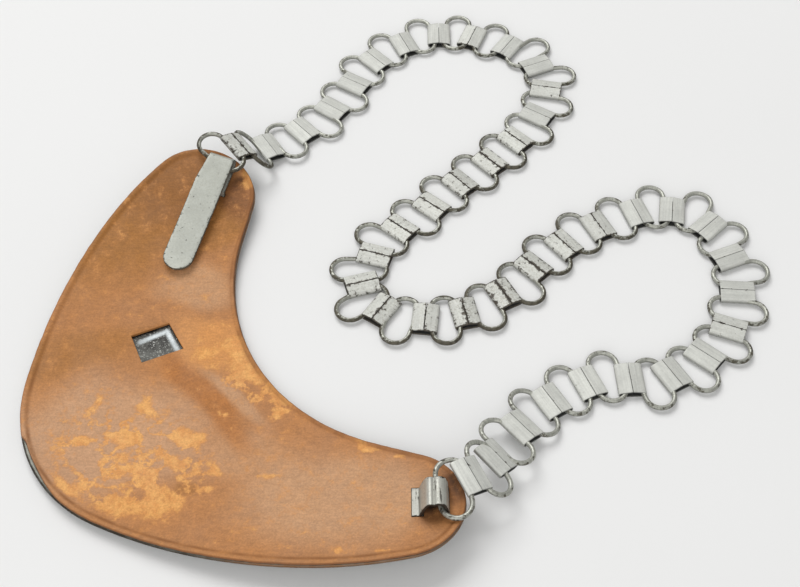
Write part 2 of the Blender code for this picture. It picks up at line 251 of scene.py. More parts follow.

# Broad tones of the leather, as ellipses in the plate's axes. Some of them are painted shadow, shade
# or highlight, as marked.
Zone = namedtuple("Zone", "tone x y long wide turn strength")
ZONES = (
    Zone("brown", -79.0, 72.0, 50.0, 30.0, -62.0, 1.0),
    Zone("umber", -82.0, 90.0, 27.0, 20.0, -62.0, 0.4),
    # Painted shadow along the side of the hook's tongue, in the next three zones.
    Zone("brown", -60.0, 99.0, 17.0, 10.0, -35.0, 1.0),
    Zone("cast_shadow", -73.6, 110.8, 5.5, 3.4, -45.0, 0.7),
    Zone("umber", -68.0, 107.0, 12.0, 8.0, -26.0, 0.8),
    Zone("brown", -34.0, 27.0, 34.0, 13.0, 70.0, 0.7),
    Zone("pink", -40.0, 78.0, 20.0, 13.0, 62.0, 0.8),
    Zone("orange", -14.0, 74.0, 26.0, 13.0, 40.0, 0.9),
    Zone("grey", 2.0, 26.0, 46.0, 31.0, 60.0, 0.9),
    Zone("pink", 62.0, 80.0, 46.0, 24.0, 57.0, 0.9),
    Zone("pink", 30.0, 62.0, 16.0, 12.0, 57.0, 0.6),
    # Painted shade along a soft fold in the leather, then a painted highlight along its ridge.
    Zone("fold", 4.0, 61.0, 36.0, 7.5, 9.0, 0.95),
    Zone("pink", 9.0, 69.6, 22.0, 3.4, 14.0, 0.8),
    Zone("brown", 33.4, 40.8, 4.5, 4.0, 58.0, 0.7),
    # Painted shadow along the edge of the last clip, which lies on the horn, then painted shade
    # under and beside the staple.
    Zone("umber", 78.0, 113.0, 12.0, 6.5, -8.0, 0.95),
    Zone("cast_shadow", 77.5, 115.4, 10.0, 3.0, -8.0, 0.85),
    Zone("umber", 85.0, 103.0, 9.0, 8.0, 60.0, 0.7),
    Zone("cast_shadow", 80.2, 105.2, 5.0, 7.0, 60.0, 1.0),
)

# Patches rubbed down to a yellower tan.
Patch = namedtuple("Patch", "x y long wide turn")
PATCHES = (
    Patch(-11.8, 28.1, 5.6, 2.2, -22.0),
    Patch(-2.2, 41.7, 6.5, 3.2, -23.0),
    Patch(0.1, 19.4, 6.2, 2.0, 27.0),
    Patch(5.1, 30.0, 7.0, 3.8, 60.0),
    Patch(10.9, 26.9, 5.2, 3.6, 60.0),
    Patch(15.1, 48.6, 6.8, 4.6, 48.0),
    Patch(21.3, 29.6, 9.6, 4.8, 32.0),
    Patch(32.4, 31.9, 7.6, 3.6, 50.0),
    Patch(22.6, 41.3, 3.6, 2.7, 59.0),
    Patch(27.7, 45.4, 3.2, 2.4, -24.0),
    Patch(31.2, 51.3, 3.6, 1.6, 31.0),
    Patch(13.0, 7.5, 8.0, 2.6, 32.0),
    Patch(36.7, 45.6, 3.9, 2.4, 59.0),
    Patch(32.0, 24.5, 17.0, 5.6, 56.0),
    Patch(-2.3, 79.0, 20.0, 6.6, 14.0),
    Patch(4.0, 85.0, 17.0, 4.0, 6.0),
    Patch(16.3, 82.4, 7.0, 3.6, 25.0),
    Patch(-12.5, 70.0, 4.6, 3.4, 60.0),
    Patch(12.8, 63.4, 1.6, 0.9, 60.0),
    Patch(22.9, 79.7, 2.4, 1.7, 59.0),
    Patch(42.5, 64.5, 3.0, 1.4, 58.0),
    Patch(49.8, 97.0, 4.2, 1.3, 43.0),
    Patch(58.5, 104.6, 3.8, 1.2, 45.0),
    Patch(86.5, 81.8, 2.2, 0.8, 57.0),
    Patch(80.5, 71.2, 1.4, 0.8, 57.0),
    Patch(-73.2, 114.2, 4.6, 2.0, -27.0),
)

# Wider fields with small rubbed spots.
WORN_FIELDS = (
    Patch(14.0, 30.0, 34.0, 22.0, 40.0),
    Patch(0.0, 78.0, 30.0, 13.0, 12.0),
)


def shade(red, green, blue):
    """A colour given out of 255 as the screen shows it, in linear light."""
    linear = []
    for value in (red, green, blue):
        value /= 255.0
        linear.append(value / 12.92 if value <= 0.04045 else ((value + 0.055) / 1.055) ** 2.4)
    return (*linear, 1.0)


class Look:
    """A Principled material and a few short ways to add nodes to it."""

    def __init__(self, name, roughness, metallic):
        self.material = bpy.data.materials.new(name)
        self.material.use_nodes = True
        self.tree = self.material.node_tree
        self.shader = self.tree.nodes["Principled BSDF"]
        self.shader.inputs["Roughness"].default_value = roughness
        self.shader.inputs["Metallic"].default_value = metallic
        self.place = self.add("ShaderNodeTexCoord").outputs["Object"]

    def add(self, kind, inputs=None, **settings):
        """A node with its settings, and values or links on its inputs."""
        node = self.tree.nodes.new(kind)
        for key, value in settings.items():
            setattr(node, key, value)
        for key, value in (inputs or {}).items():
            self.put(node.inputs[key], value)
        return node

    def put(self, socket, value):
        """A value or a link on an input."""
        if isinstance(value, bpy.types.NodeSocket):
            self.tree.links.new(value, socket)
        else:
            socket.default_value = value

    def attribute(self, name, output="Fac"):
        """A value kept on the mesh."""
        return self.add("ShaderNodeAttribute", attribute_name=name).outputs[output]

    def grain(self, scale, detail=3.0, rough=0.55, stretch=(1.0, 1.0, 1.0), place=None):
        """Noise of a size, scale in patches a metre, stretched along an axis."""
        place = place or self.place
        where = self.add("ShaderNodeMapping", {"Vector": place, "Scale": stretch})
        inputs = {
            "Vector": where.outputs["Vector"],
            "Scale": scale,
            "Detail": detail,
            "Roughness": rough,
        }
        return self.add("ShaderNodeTexNoise", inputs).outputs["Fac"]

    def math(self, operation, first, second=0.0, clamp=False):
        """One sum."""
        node = self.add("ShaderNodeMath", {0: first, 1: second}, operation=operation)
        node.use_clamp = clamp
        return node.outputs[0]

    def between(self, value, low, high, to_low=0.0, to_high=1.0):
        """A value eased from one range to another."""
        inputs = {"Value": value, "From Min": low, "From Max": high}
        inputs.update({"To Min": to_low, "To Max": to_high})
        node = self.add("ShaderNodeMapRange", inputs, interpolation_type="SMOOTHSTEP")
        return node.outputs["Result"]

    def mix(self, share, first, second, blend="MIX"):
        """Two colours mixed, on the node's sockets for colours."""
        node = self.add("ShaderNodeMix", data_type="RGBA", blend_type=blend)
        self.put(node.inputs["Factor"], share)
        self.put(node.inputs[6], first)
        self.put(node.inputs[7], second)
        return node.outputs[2]

    def times(self, colour, level):
        """A colour made darker or lighter by a level."""
        inputs = {"Red": level, "Green": level, "Blue": level}
        grey = self.add("ShaderNodeCombineColor", inputs).outputs["Color"]
        return self.mix(1.0, colour, grey, "MULTIPLY")

    def bump(self, height, distance, below=None):
        """Relief from a height, distance in millimetres, laid over the relief below."""
        inputs = {"Height": height, "Distance": distance * MM, "Strength": 1.0}
        node = self.add("ShaderNodeBump", inputs)
        if below:
            self.put(node.inputs["Normal"], below)
        return node.outputs["Normal"]

    def finish(self, colour, normal=None, roughness=None):
        """Connect what the nodes make."""
        self.put(self.shader.inputs["Base Color"], colour)
        for key, value in (("Normal", normal), ("Roughness", roughness)):
            if value is not None:
                self.put(self.shader.inputs[key], value)
        return self.material


def brightened(look, colour, value, low, high):
    """A colour made darker or lighter by noise, between two levels."""
    return look.times(colour, look.between(value, 0.3, 0.7, low, high))


def leather_look():
    """Worn vegetable-tanned leather."""
    look = Look("backing_leather", 0.62, 0.0)
    look.shader.inputs["Specular IOR Level"].default_value = 0.32
    colour = look.attribute("tan", "Color")
    lines = look.grain(1.0, 3.0, 0.6, (260.0, 1300.0, 260.0))
    pores = look.grain(1500.0, 3.0, 0.65)
    clouds = look.grain(60.0, 6.0, 0.65)
    blotches = look.grain(210.0, 6.0, 0.7)
    colour = brightened(look, colour, clouds, 0.95, 1.05)
    colour = brightened(look, colour, blotches, 0.95, 1.05)
    colour = brightened(look, colour, look.grain(600.0, 4.0, 0.7), 0.94, 1.06)
    colour = brightened(look, colour, lines, 0.94, 1.05)
    colour = brightened(look, colour, pores, 0.88, 1.1)
    strands = look.math("ABSOLUTE", look.math("SUBTRACT", look.grain(95.0, 4.0, 0.6), 0.5))
    strands = look.between(strands, 0.0, 0.08, 0.62, -0.15)
    strands = look.math("MULTIPLY", strands, look.attribute("field"))
    ragged = look.math("MULTIPLY", look.grain(230.0, 8.0, 0.75), 2.6)
    share = look.math("ADD", look.attribute("worn"), look.math("SUBTRACT", ragged, 1.3))
    share = look.math("ADD", share, strands)
    warm = look.math("MULTIPLY", look.between(share, -0.05, 0.4), 0.38)
    colour = look.mix(warm, colour, shade(*TONES["warm"]))
    worn = look.between(share, 0.18, 0.7)
    patchy = look.between(look.grain(300.0, 6.0, 0.7), 0.38, 0.62)
    rubbed = look.mix(patchy, shade(*TONES["worn"]), shade(*TONES["raw"]))
    rubbed = brightened(look, rubbed, pores, 0.86, 1.1)
    colour = look.mix(look.math("MULTIPLY", worn, 0.85), colour, rubbed)
    broken = look.between(look.grain(150.0, 4.0, 0.6), 0.38, 0.62, 0.3, 0.75)
    # Painted shade in the crease, broken up by noise.
    crease_shade = look.math("MULTIPLY", look.attribute("crease_shade"), broken)
    colour = look.mix(crease_shade, colour, shade(132, 84, 44))
    rim = look.math("MULTIPLY", look.attribute("rim"), 0.85)
    colour = look.mix(rim, colour, shade(128, 82, 48))
    relief = look.bump(lines, 0.03)
    relief = look.bump(pores, 0.035, relief)
    relief = look.bump(worn, -0.05, relief)
    rough = look.between(clouds, 0.3, 0.7, 0.55, 0.72)
    return look.finish(colour, relief, rough)


def steel_look():
    """Old sheet steel, dark and mottled with paler specks."""
    look = Look("plate_steel", 0.45, 0.8)
    clouds = look.grain(140.0, 6.0, 0.7)
    specks = look.between(look.grain(1500.0, 5.0, 0.75), 0.55, 0.64)
    level = look.between(clouds, 0.38, 0.62)
    colour = look.mix(level, shade(92, 92, 84), shade(146, 147, 138))
    framed = look.mix(level, shade(34, 33, 31), shade(88, 88, 84))
    framed = look.mix(look.math("MULTIPLY", specks, 0.7), framed, shade(165, 166, 160))
    colour = look.mix(look.attribute("framed"), colour, framed)
    pale = look.math("MULTIPLY", look.attribute("pale"), 0.85)
    colour = look.mix(pale, colour, shade(150, 155, 156))
    front = brightened(look, shade(140, 139, 134), clouds, 0.72, 1.12)
    colour = look.mix(look.attribute("front"), colour, front)
    dark = look.between(clouds, 0.35, 0.6, 1.0, 0.75)
    # The hem's outer side is darkened, partly as dirt and partly as painted shade.
    dirt = look.mix(look.attribute("grime_and_shade"), shade(128, 92, 62), shade(62, 55, 46))
    colour = look.mix(look.math("MULTIPLY", look.attribute("hem"), dark), colour, dirt)
    colour = brightened(look, colour, look.grain(1.0, 4.0, 0.6, (90.0, 500.0, 90.0)), 0.88, 1.08)
    rough = look.between(clouds, 0.3, 0.7, 0.36, 0.6)
    return look.finish(colour, look.bump(clouds, 0.06), rough)


def paint_look(name, colour, bare, chips, brushed=0.0, gloss=0.52, metal=0.3, cracks=0.0):
    """Silver-grey paint over a bare steel colour, chipped at its edges and rubbed where worn."""
    look = Look(name, gloss, metal)
    cloud = look.grain(160.0, 4.0, 0.6)
    fine = look.grain(1300.0, 3.0, 0.7)
    coat = brightened(look, shade(*colour), cloud, 0.94, 1.05)
    coat = brightened(look, coat, fine, 0.94, 1.05)
    own = look.attribute("own", "Vector")
    brush = look.grain(1.0, 2.0, 0.6, (1500.0, 60.0, 1500.0), own)
    coat = brightened(look, coat, brush, 1.0 - brushed, 1.0 + 0.5 * brushed)
    wear = look.attribute("wear")
    dirt = look.between(look.grain(1500.0, 5.0, 0.75), 0.46, 0.7)
    coat = look.mix(look.math("MULTIPLY", dirt, wear, True), coat, shade(138, 130, 108))
    # Each corner's tone: random tone together with painted shade and highlight.
    coat = look.times(coat, look.attribute("tint"))
    ragged = look.grain(620.0, 6.0, 0.75)
    at_edge = look.math("ADD", look.math("MULTIPLY", wear, 0.55), chips)
    at_edge = look.math("MULTIPLY", look.attribute("edge"), at_edge)
    gone = look.math("ADD", look.math("MULTIPLY", wear, 0.13), look.math("ADD", at_edge, ragged))
    gone = look.between(gone, 0.66, 0.71)
    if cracks:
        split = look.grain(1.0, 4.0, 0.65, (900.0, 130.0, 900.0), own)
        split = look.math("MULTIPLY", look.between(split, 0.6, 0.66), cracks)
        gone = look.math("MAXIMUM", gone, split)
    dark = brightened(look, shade(*bare), look.grain(900.0, 3.0, 0.7), 0.6, 1.5)
    colour = look.mix(gone, coat, dark)
    rough = look.between(gone, 0.0, 1.0, gloss, 0.55)
    relief = look.bump(look.math("MULTIPLY", gone, -1.0), 0.05)
    relief = look.bump(fine, 0.015, relief)
    return look.finish(colour, relief, rough)


def made(name, corners, faces, material, node):
    """A piece from corners in millimetres, in place of a node of the model."""
    mesh = bpy.data.meshes.new(name)
    moved = (np.array(corners) - np.array(CENTRE)) * MM
    mesh.from_pydata(moved.tolist(), [], faces)
    turned = bmesh.new()
    turned.from_mesh(mesh)
    bmesh.ops.recalc_face_normals(turned, faces=turned.faces)
    turned.to_mesh(mesh)
    turned.free()
    mesh.materials.append(material)
    for face in mesh.polygons:
        face.use_smooth = True
    mesh.set_sharp_from_angle(angle=math.radians(SHARP_FROM))
    item = bpy.data.objects.new(name, mesh)
    bpy.context.scene.collection.objects.link(item)
    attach(item, "root")
    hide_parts(node)
    return item


# What a kept value is called, by its kind.
KINDS = {"FLOAT": "value", "FLOAT_COLOR": "color", "FLOAT_VECTOR": "vector"}


def keep(item, name, values, kind="FLOAT"):
    """Keep a number, a colour or a vector for each corner on the mesh."""
    layer = item.data.attributes.new(name, kind, "POINT")
    layer.data.foreach_set(KINDS[kind], np.array(values, np.float32).ravel())


def on_floor(x, y, z):
    """A point given in the plate's axes, brought to where the plate lies."""
    turn = Matrix.Rotation(math.radians(PLATE_TURN), 3, "Z")
    return turn @ Vector((x, y, z)) + Vector((*PLATE_AT, 0.0))


def bow(x, y):
    """Height of the plate's underside over the floor."""
    dish = max(0.0, DISH_START - y)
    return x * x / (2.0 * BOW_RADIUS) + dish * dish / (2.0 * DISH_RADIUS)


def leather_top(x, y):
    """Height of the leather's rim over the floor."""
    return bow(x, y) + RIM_TOP


def half_outline():
    """Points of half the edge with the heading at each."""
    stations = [(Vector((0.0, 0.0)), 0.0)]
    for edge in HALF_OUTLINE:
        step = math.radians(edge.turn / edge.steps)
        chord = edge.length / edge.steps
        if step:
            chord *= math.sin(step / 2.0) / (step / 2.0)
        for _ in range(edge.steps):
            point, heading = stations[-1]
            way = heading + step / 2.0
            point = point + chord * Vector((math.cos(way), math.sin(way)))
            stations.append((point, heading + step))
    stations[-1] = (Vector((0.0, stations[-1][0].y)), math.pi)
    return stations


HALF = half_outline()


def outline(inset):
    """The whole edge as a loop of points, moved inwards by a distance or a function of the point."""
    half = []
    for side in (1.0, -1.0):
        row = []
        for point, heading in HALF:
            depth = inset(side * point.x, point.y) if callable(inset) else inset
            moved = point + depth * Vector((-math.sin(heading), math.cos(heading)))
            row.append((side * moved.x, moved.y))
        half.append(row)
    return half[0] + half[1][-2:0:-1]


def leather_inset(x, y):
    """Distance of the leather's edge from the steel's: it is worn back at the lobe."""
    worn = 0.0
    if y < DISH_START:
        begins = min(1.0, max(0.0, (x - WORN_FROM) / 2.5))
        ends = min(1.0, max(0.0, (WORN_TO - x) / 12.0))
        worn = begins * ends
    ragged = 0.12 * noise.noise(Vector((x * 0.35, y * 0.35, 3.0)))
    return min(GAP + WORN_BACK * worn + 0.05 + ragged, GAP + WORN_BACK + 0.08)


def inside(points, loop):
    """Which points lie within a loop."""
    x, y = points.T
    found = np.zeros(len(points), bool)
    ring = np.array(loop)
    for (ax, ay), (bx, by) in zip(ring, np.roll(ring, -1, axis=0)):
        if ay != by:
            crosses = (ay > y) != (by > y)
            found ^= crosses & (x < ax + (bx - ax) * (y - ay) / (by - ay))
    return found


def distance_to(points, loop):
    """Shortest distance from each point to a loop."""
    best = np.full(len(points), np.inf)
    ring = np.array(loop)
    for start, end in zip(ring, np.roll(ring, -1, axis=0)):
        along = end - start
        share = np.clip((points - start) @ along / (along @ along), 0.0, 1.0)
        away = points - start - share[:, None] * along
        best = np.minimum(best, np.hypot(away[:, 0], away[:, 1]))
    return best


def strip_axes(turn):
    """Directions along a strip and across it."""
    angle = math.radians(turn)
    way = Vector((math.cos(angle), math.sin(angle)))
    return way, Vector((-way.y, way.x))


def slot_corners(at, turn, along, across):
    """The corners of a straight slit: its ends along the strip and its half length across."""
    way, side = strip_axes(turn)
    corners = []
    for distance, offset in ((0, -1), (1, -1), (1, 1), (0, 1)):
        corner = Vector(at) + along[distance] * way + offset * across * side
        corners.append((corner.x, corner.y))
    return corners


def cut_loop(corners, grow):
    """A hole's edge, grown by a distance and split into lengths of about 1.2 mm."""
    count = len(corners)
    middle = sum((Vector(corner) for corner in corners), Vector((0.0, 0.0))) / count
    grown = []
    for i, corner in enumerate(corners):
        here = Vector(corner)
        before = (here - Vector(corners[i - 1])).normalized()
        after = (Vector(corners[(i + 1) % count]) - here).normalized()
        out = (before - after).normalized()
        if out.dot(here - middle) < 0.0:
            out = -out
        reach = grow / max(0.3, abs(out.dot(Vector((before.y, -before.x)))))
        grown.append(here + reach * out)
    loop = []
    for i, start in enumerate(grown):
        end = grown[(i + 1) % count]
        parts = max(1, int((end - start).length / 1.2))
        for part in range(parts):
            point = start.lerp(end, part / parts)
            loop.append((point.x, point.y))
    return loop


# A loop of points round a sheet, with the heights of the sheet's underside and face there.
Rim = namedtuple("Rim", "loop bottom top")


def sheet(rims, cuts, inner, spacing, relief, extra=()):
    """Corners, faces and plate places of a closed bowed sheet with holes and extra points."""
    corners = []
    edges = []
    for rim in rims + [rim for cut in cuts for rim in cut]:
        first = len(corners)
        count = len(rim.loop)
        corners += [(x, y, rim.bottom, rim.top) for x, y in rim.loop]
        edges += [(first + i, first + (i + 1) % count) for i in range(count)]
    rows = np.arange(0.0, FIELD_DEPTH, spacing * ROW_HEIGHT)
    columns = np.arange(-FIELD_REACH, FIELD_REACH, spacing)
    field = [(x + 0.5 * spacing * (row % 2), y) for row, y in enumerate(rows) for x in columns]
    field = np.array(field)
    kept = inside(field, rims[-1].loop) & (distance_to(field, rims[-1].loop) > 0.5 * spacing)
    for cut in cuts:
        kept &= ~inside(field, cut[-1].loop)
        kept &= distance_to(field, cut[-1].loop) > 0.5 * spacing
    corners += [(x, y, *inner) for x, y in [*field[kept], *extra]]
    flat = [Vector(corner[:2]) for corner in corners]
    points, _, triangles, origin, _, _ = delaunay_2d_cdt(flat, edges, [], 0, 1e-6, True)
    count = len(points)
    bottoms = []
    tops = []
    places = []
    for (x, y), source in zip(points, origin):
        # A point where two loops cross takes the heights of the corner nearest to it.
        away = [] if source else [(corner - Vector((x, y))).length for corner in flat]
        near = source[0] if source else away.index(min(away))
        low, high = corners[near][2:]
        bottoms.append(on_floor(x, y, bow(x, y) + low))
        tops.append(on_floor(x, y, bow(x, y) + high + relief(x, y)))
        places.append((x, y))
    places = np.array(places)
    middles = places[np.array(triangles)].mean(axis=1)
    good = inside(middles, rims[0].loop)
    for cut in cuts:
        good &= ~inside(middles, cut[0].loop)
    whole = [tuple(triangle) for triangle, fine in zip(triangles, good) if fine]
    used = {(tri[i], tri[(i + 1) % 3]) for tri in whole for i in range(3)}
    faces = [tuple(i + count for i in tri) for tri in whole]
    faces += [tuple(reversed(tri)) for tri in whole]
    faces += [(a, b, b + count, a + count) for a, b in used if (b, a) not in used]
    return bottoms + tops, faces, np.vstack([places, places])


# Paler strips of the steel along two sides of the window, about 0.8 mm to either side.
PALE_WIDTH = 0.8
PALE_STRIPS = (
    ((-28.4, 50.6), (-28.2, 60.6)),
    ((-28.2, 60.6), (-19.4, 60.6)),
)


def build_plate(material):
    """The steel crescent, its edge folded over in a round hem."""
    round_half = HEM_THICKNESS / 2.0
    rims = []
    for angle in HEM_TURNS:
        turn = math.radians(angle)
        rise = round_half * math.sin(turn)
        loop = outline(OUTLINE_ROOM + round_half * (1.0 - math.cos(turn)))
        rims.append(Rim(loop, round_half - rise, round_half + rise))
    rims.append(Rim(outline(HEM_WIDTH - 0.12), 0.0, HEM_THICKNESS))
    rims.append(Rim(outline(HEM_WIDTH), 0.0, HEM_THICKNESS - 0.1))
    rims.append(Rim(outline(HEM_WIDTH + 0.05), 0.0, SHEET))
    columns = np.arange(*SEEN_ACROSS, SEEN_STEP)
    rows = np.arange(*SEEN_DEEP, SEEN_STEP)
    seen = [(x, y) for x in columns for y in rows]
    corners, faces, places = sheet(rims, [], (0.0, SHEET), PLATE_SPACING, lambda x, y: 0.0, seen)
    item = made("plate_shell", corners, faces, material, "gorget_plate")
    half = len(corners) // 2
    keep(item, "front", [1.0] * half + [0.0] * half)
    # The hem's fold is darker, partly from dirt and partly as painted shade on its outer side: brown
    # near the horns and darker towards the lobe.
    hem = 1.0 - np.clip((distance_to(places, outline(0.0)) - 0.25) / 0.6, 0.0, 1.0)
    keep(item, "hem", hem)
    keep(item, "grime_and_shade", np.clip((48.0 - places[:, 1]) / 16.0, 0.0, 1.0))
    keep(item, "framed", (distance_to(places, WINDOW) < 0.8) | inside(places, WINDOW))
    pale = np.zeros(len(places))
    for strip in PALE_STRIPS:
        away = distance_to(places, strip) / PALE_WIDTH
        pale = np.maximum(pale, np.clip(1.5 - away, 0.0, 1.0))
    keep(item, "pale", pale)
    return item


def zone_share(x, y, zone):
    """How deep a point lies in an ellipse, from 0 at its edge to 1 in its middle."""
    angle = math.radians(zone.turn)
    along = (x - zone.x) * math.cos(angle) + (y - zone.y) * math.sin(angle)
    across = (y - zone.y) * math.cos(angle) - (x - zone.x) * math.sin(angle)
    return 1.0 - math.hypot(along / zone.long, across / zone.wide)


def leather_tone(x, y):
    """The leather's broad tone at a place, with the painted shade, shadow and highlight of some
    zones.
    """
    wobble = Vector((x * 0.05, y * 0.05, 1.0))
    drift = Vector((noise.noise(wobble), noise.noise(wobble + Vector((9.0, 4.0, 2.0)))))
    tone = np.array(shade(*TONES["tan"]))
    for zone in ZONES:
        near = Vector((x, y)) + min(6.0, 0.6 * zone.wide) * drift
        share = min(1.0, max(0.0, 1.7 * zone_share(near.x, near.y, zone)))
        share *= share * (3.0 - 2.0 * share) * zone.strength
        tone = tone + share * (np.array(shade(*TONES[zone.tone])) - tone)
    return tone


def leather_wear(x, y):
    """How much a place is rubbed down in the patches."""
    wobble = Vector((x * 0.16, y * 0.16, 5.0))
    near_x = x + 3.0 * noise.noise(wobble)
    near_y = y + 3.0 * noise.noise(wobble + Vector((3.0, 7.0, 1.0)))
    patch = max(zone_share(near_x, near_y, patch) for patch in PATCHES)
    return 0.75 * min(1.0, max(0.0, 2.0 * patch + 0.1))


def leather_field(x, y):
    """How deep a place lies in the wider rubbed fields."""
    return min(1.0, max(0.0, 2.5 * max(zone_share(x, y, field) for field in WORN_FIELDS)))


def leather_relief(x, y):
    """Small unevenness of the leather's face."""
    slow = noise.noise(Vector((x * 0.06, y * 0.06, 2.0)))
    quick = noise.noise(Vector((x * 0.25, y * 0.25, 8.0)))
    return 0.1 * slow + 0.03 * quick - 0.08


# The leather's round edge: distance in, how far its underside lies up and its face down.
Round = namedtuple("Round", "inward low high")
LEATHER_ROUND = (
    Round(0.0, 0.2, -0.4),
    Round(0.08, 0.05, -0.18),
    Round(0.22, 0.0, -0.06),
    Round(0.45, 0.0, 0.0),
)

# The step that the hem presses into the leather: distance from the steel's edge, share of the
# drop on the face and underneath.
Step = namedtuple("Step", "inward face under")
LEATHER_STEP = (
    Step(1.5, 0.02, 0.0),
    Step(1.8, 0.12, 0.0),
    Step(2.15, 0.36, 0.0),
    Step(2.5, 0.64, 0.0),
    Step(2.9, 0.88, 0.0),
    Step(3.25, 0.98, 0.5),
    Step(3.6, 1.0, 1.0),
)

# On the neck's side the step lies nearer to the edge by this much.
NECK_STEP_NEARER = 0.7


def neck_side(x, y):
    """Whether a place near the edge is on the neck's side, from 0 to 1."""
    return min(1.0, max(0.0, (y - 68.0 - 0.0045 * x * x) / 6.0))


def leather_rims():
    """The leather's round edge and the step along the hem, from outside in."""
    rims = []
    for edge in LEATHER_ROUND:
        loop = outline(lambda x, y, inward=edge.inward: leather_inset(x, y) + inward)
        rims.append(Rim(loop, UNDER_RIM + edge.low, RIM_TOP + edge.high))
    for step in LEATHER_STEP:
        low = UNDER_RIM + (ON_SHEET - UNDER_RIM) * step.under
        high = RIM_TOP + (LEATHER_FACE - RIM_TOP) * step.face
        nearer = 0.0 if step.under else NECK_STEP_NEARER
        loop = outline(lambda x, y, at=step.inward, by=nearer: at - by * neck_side(x, y))
        rims.append(Rim(loop, low, high))
    return rims


def leather_cuts():
    """The window and the slits, each with its edge on the face eased."""
    half = STRIP_WIDTH / 2.0 + 0.1
    room = STRIP / 2.0 + GAP
    holes = [
        WINDOW,
        slot_corners(HOOK_AT, HOOK_TURN, (HOOK_FOOT - room, HOOK_FOOT + room), half),
        slot_corners(STAPLE_AT, STAPLE_TURN, STAPLE_SLIT, half),
        slot_corners(STAPLE_AT, STAPLE_TURN, (STAPLE_SPAN - room, STAPLE_SPAN + room), half),
    ]
    eased = ((0.0, -0.12), (0.15, 0.0))
    return [
        [Rim(cut_loop(hole, grow), ON_SHEET, LEATHER_FACE + drop) for grow, drop in eased]
        for hole in holes
    ]


def leather_crease_shade(places, depth):
    """Painted shade in the crease along the hem, and on the leather's rim along the neck, where the
    crease lies nearer the edge.
    """
    side = np.array([neck_side(x, y) for x, y in places])
    shift = NECK_STEP_NEARER * side
    crease_shade = np.exp(-((depth - 2.5 + shift) / (0.65 - 0.3 * shift)) ** 2)
    crease_shade *= np.interp(places[:, 0], (-60.0, -25.0), (0.3, 1.0))
    return np.maximum(crease_shade, side * np.clip((2.2 - depth) / 0.5, 0.0, 0.9))


def leather_rim(places, depth):
    """How near each place is to the leather's own edge, over the last half millimetre."""
    inward = np.array([d - leather_inset(x, y) for (x, y), d in zip(places, depth)])
    return 1.0 - np.clip(inward / 0.5, 0.0, 1.0)


def build_leather(material):
    """The leather backing with its window and its slits."""
    inner = (ON_SHEET, LEATHER_FACE)
    corners, faces, places = sheet(
        leather_rims(), leather_cuts(), inner, LEATHER_SPACING, leather_relief
    )
    item = made("leather_skin", corners, faces, material, "leather_backing")
    depth = distance_to(places, outline(0.0))
    keep(item, "crease_shade", leather_crease_shade(places, depth))
    keep(item, "rim", leather_rim(places, depth))
    one_side = places[:len(places) // 2]
    for name, of_place, kind in (
        ("tan", leather_tone, "FLOAT_COLOR"),
        ("worn", leather_wear, "FLOAT"),
        ("field", leather_field, "FLOAT"),
    ):
        values = [of_place(x, y) for x, y in one_side]
        keep(item, name, values + values, kind)
    return item


def thickened(path, thickness):
    """Both sides of a bent strip seen from its edge."""
    sides = []
    for i, point in enumerate(path):
        here = Vector(point)
        before = (here - Vector(path[i - 1])).normalized() if i else None
        after = (Vector(path[i + 1]) - here).normalized() if i + 1 < len(path) else None
        before = before or after
        after = after or before
        normal = Vector((-(before + after).y, (before + after).x)).normalized()
        reach = 0.5 * thickness / max(0.5, normal.dot(Vector((-before.y, before.x))))
        sides.append((here - reach * normal, here + reach * normal))
    return sides


# Section of a strip from its face round its edge to its underside: distance in from the edge,
# level through the sheet. The whole section starts low on the other side.
STRIP_EDGE = (
    (1.2, 1.0), (0.26, 1.0), (0.09, 0.94), (0.0, 0.75),
    (0.0, 0.25), (0.09, 0.06), (0.26, 0.0), (1.2, 0.0),
)
OTHER_SIDE = [(-1, *spot) for spot in reversed(STRIP_EDGE)]
STRIP_SECTION = (
    *OTHER_SIDE[3:],
    (0, 0.0, 1.0),
    *((1, *spot) for spot in STRIP_EDGE),
    (0, 0.0, 0.0),
    *OTHER_SIDE[:3],
)

# A small mesh, with how rubbed each corner is, its place on its own piece and its tone, which
# carries painted shade.
Small = namedtuple("Small", "corners faces rubbed places tints")


def painted(name, small, material, node, worn):
    """A painted piece from a small mesh; worn is how far the paint has gone, by corner."""
    item = made(name, small.corners, small.faces, material, node)
    keep(item, "edge", small.rubbed)
    keep(item, "wear", worn)
    keep(item, "tint", small.tints)
    keep(item, "own", np.array(small.places, np.float32) * MM, "FLOAT_VECTOR")
    return item


def tube_faces(rows, count, closed=False):
    """Faces round a tube from rows of corners, open at its ends or closed to a ring."""
    faces = []
    for row in range(rows if closed else rows - 1):
        near = count * row
        far = count * ((row + 1) % rows)
        for i in range(count):
            j = (i + 1) % count
            faces.append((near + i, near + j, far + j, far + i))
    return faces


def strip_mesh(at, turn, path, half_widths, underside_shade):
    """A bent strip from its path and its reach to each side, with painted shade on its cut edges
    and, by a given level, on its underside.
    """
    way, side = strip_axes(turn)
    corners = []
    rubbed = []
    tints = []
    places = []
    for (low, high), half in zip(thickened(path, STRIP), half_widths):
        middle = (half[1] - half[0]) / 2.0
        reach = (half[1] + half[0]) / 2.0
        for sign, inward, level in STRIP_SECTION:
            offset = middle + sign * (reach - inward * min(1.0, reach / 1.5))
            spot = low.lerp(high, level)
            flat = Vector(at) + spot.x * way + offset * side
            corners.append(on_floor(flat.x, flat.y, leather_top(flat.x, flat.y) + spot.y))
            rubbed.append(1.0 if sign and inward < 0.2 else 0.35 if sign and inward < 1.0 else 0.0)
            # Painted shade on the underside, by the given level, and on the cut edges.
            face_shade = 1.0 if level > 0.5 else underside_shade
            tints.append(STRIP_EDGE_SHADE if 0.2 < level < 0.8 else face_shade)
            places.append((spot.x, offset, spot.y))
    count = len(STRIP_SECTION)
    ends = [tuple(range(count)), tuple(len(corners) - 1 - i for i in range(count))]
    return Small(corners, ends + tube_faces(len(path), count), rubbed, places, tints)


